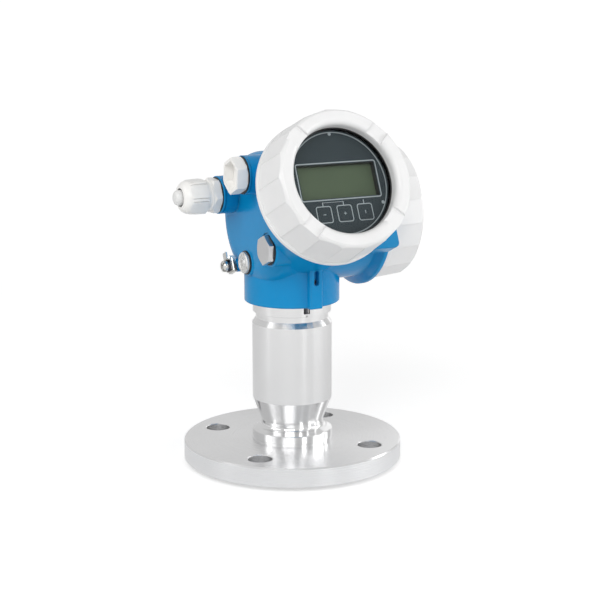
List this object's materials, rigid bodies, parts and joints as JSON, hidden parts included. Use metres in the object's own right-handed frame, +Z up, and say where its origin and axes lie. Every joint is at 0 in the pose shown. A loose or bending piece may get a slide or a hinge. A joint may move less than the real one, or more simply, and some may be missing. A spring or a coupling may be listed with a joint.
{
  "type": "radar level transmitter",
  "caption": "Field level transmitter head with tilted display cover, blank terminal cover and cable entries, on a turned steel neck and a drilled process flange with a flush antenna lens.",
  "frame": {"origin": "centre of the raised sealing face and the flush antenna lens under the flange, on the neck's axis", "axes": "+Z up the neck's axis, the display looks along -Y and tilts up, the terminal cover faces +X and the cable entries face -X"},
  "size_m": [0.1696, 0.1882, 0.2719],
  "materials": {
    "flange_steel": "turned faces, machined rim",
    "neck_steel": "turned and polished",
    "ptfe": "smooth white",
    "silver_plate": "silver plated tube",
    "module_black": "moulded, matt",
    "black_rubber": "smooth elastomer",
    "dark_steel": "blackened",
    "blue_paint": "smooth gloss powder coat on cast aluminium",
    "white_paint": "smooth light grey-white powder coat on cast aluminium",
    "window_glass": "clear safety glass",
    "retainer_black": "black anodised",
    "foil": "printed slate-blue foil",
    "lcd": "olive-green segment display",
    "key": "grey silicone-look key",
    "board_green": "circuit board",
    "terminal_grey": "moulded terminal body",
    "bright_screw": "bright plated",
    "light_plastic": "light grey moulded polyamide",
    "plug_white": "white plug",
    "bright_steel": "bright turned steel"
  },
  "bodies": {
    "base": {"process_flange": "flange_steel", "neck": "neck_steel", "antenna_lens": "ptfe", "waveguide": "silver_plate", "radar_module": "module_black", "neck_seal": "black_rubber", "stop_pin": "dark_steel"},
    "head": {"housing": "blue_paint", "lock_screw": "dark_steel", "electronics_module": "module_black", "display_carrier": "module_black", "display_board": "board_green", "lcd_module": "lcd", "lcd_frame": "module_black", "display_panel": "foil", "key_switches": "module_black", "terminal_carrier": "module_black", "carrier_screws": "bright_screw", "terminal_block": "terminal_grey", "terminal_screws": "bright_screw", "blind_plug": "light_plastic", "blind_plug_seal": "black_rubber", "gland_seal": "black_rubber", "gland_body": "light_plastic", "steel_plug_seal": "black_rubber", "steel_plug": "bright_steel", "vent_seal": "black_rubber", "vent_cap": "bright_steel", "ground_clamp": "bright_screw", "ground_washer": "dark_steel", "ground_screw": "bright_screw"},
    "window_seal": {"display_cover_seal": "black_rubber"},
    "window_cover": {"display_cover": "white_paint", "window_glass": "window_glass", "window_gasket": "black_rubber", "window_retainer": "retainer_black"},
    "blank_seal": {"terminal_cover_seal": "black_rubber"},
    "blank_cover": {"terminal_cover": "white_paint"},
    "minus_button": {"minus_key": "key"},
    "plus_button": {"plus_key": "key"},
    "enter_button": {"enter_key": "key"},
    "gland_core": {"gland_insert": "black_rubber", "gland_blank": "plug_white"},
    "gland_nut": {"gland_cap_nut": "light_plastic"}
  },
  "joints": [
    {"name": "head_turn", "type": "hinge", "parent": "base", "child": "head", "pos_m": [0, 0, 0.137], "axis": [0, 0, 1], "range_deg": [-170, 170]},
    {"name": "display_cover_advance", "type": "slide", "parent": "head", "child": "window_seal", "axis": [0, -0.9107, 0.4131], "range_m": [0, 0.0171]},
    {"name": "display_cover_turn", "type": "hinge", "parent": "window_seal", "child": "window_cover", "pos_m": [0, -0.0683, 0.21898], "axis": [0, -0.9107, 0.4131], "range_deg": [0, 3060]},
    {"name": "terminal_cover_advance", "type": "slide", "parent": "head", "child": "blank_seal", "axis": [1, 0, 0], "range_m": [0, 0.0171]},
    {"name": "terminal_cover_turn", "type": "hinge", "parent": "blank_seal", "child": "blank_cover", "pos_m": [0.07, 0, 0.188], "axis": [1, 0, 0], "range_deg": [0, 3060]},
    {"name": "minus_key_press", "type": "slide", "parent": "head", "child": "minus_button", "axis": [0, 0.9107, -0.4131], "range_m": [0, 0.0005], "stiffness_N_per_m": 400, "springref_m": -0.001},
    {"name": "plus_key_press", "type": "slide", "parent": "head", "child": "plus_button", "axis": [0, 0.9107, -0.4131], "range_m": [0, 0.0005], "stiffness_N_per_m": 400, "springref_m": -0.001},
    {"name": "enter_key_press", "type": "slide", "parent": "head", "child": "enter_button", "axis": [0, 0.9107, -0.4131], "range_m": [0, 0.0005], "stiffness_N_per_m": 400, "springref_m": -0.001},
    {"name": "gland_core_advance", "type": "slide", "parent": "head", "child": "gland_core", "axis": [-1, 0, 0], "range_m": [0, 0.0061]},
    {"name": "gland_nut_turn", "type": "hinge", "parent": "gland_core", "child": "gland_nut", "pos_m": [-0.068, 0.02424, 0.20391], "axis": [-1, 0, 0], "range_deg": [0, 1440]}
  ],
  "couplings": [
    {"joint": "display_cover_advance", "follows": "display_cover_turn", "m_per_rad": 0.00031831},
    {"joint": "terminal_cover_advance", "follows": "terminal_cover_turn", "m_per_rad": 0.00031831},
    {"joint": "gland_core_advance", "follows": "gland_nut_turn", "m_per_rad": 0.00023873}
  ]
}
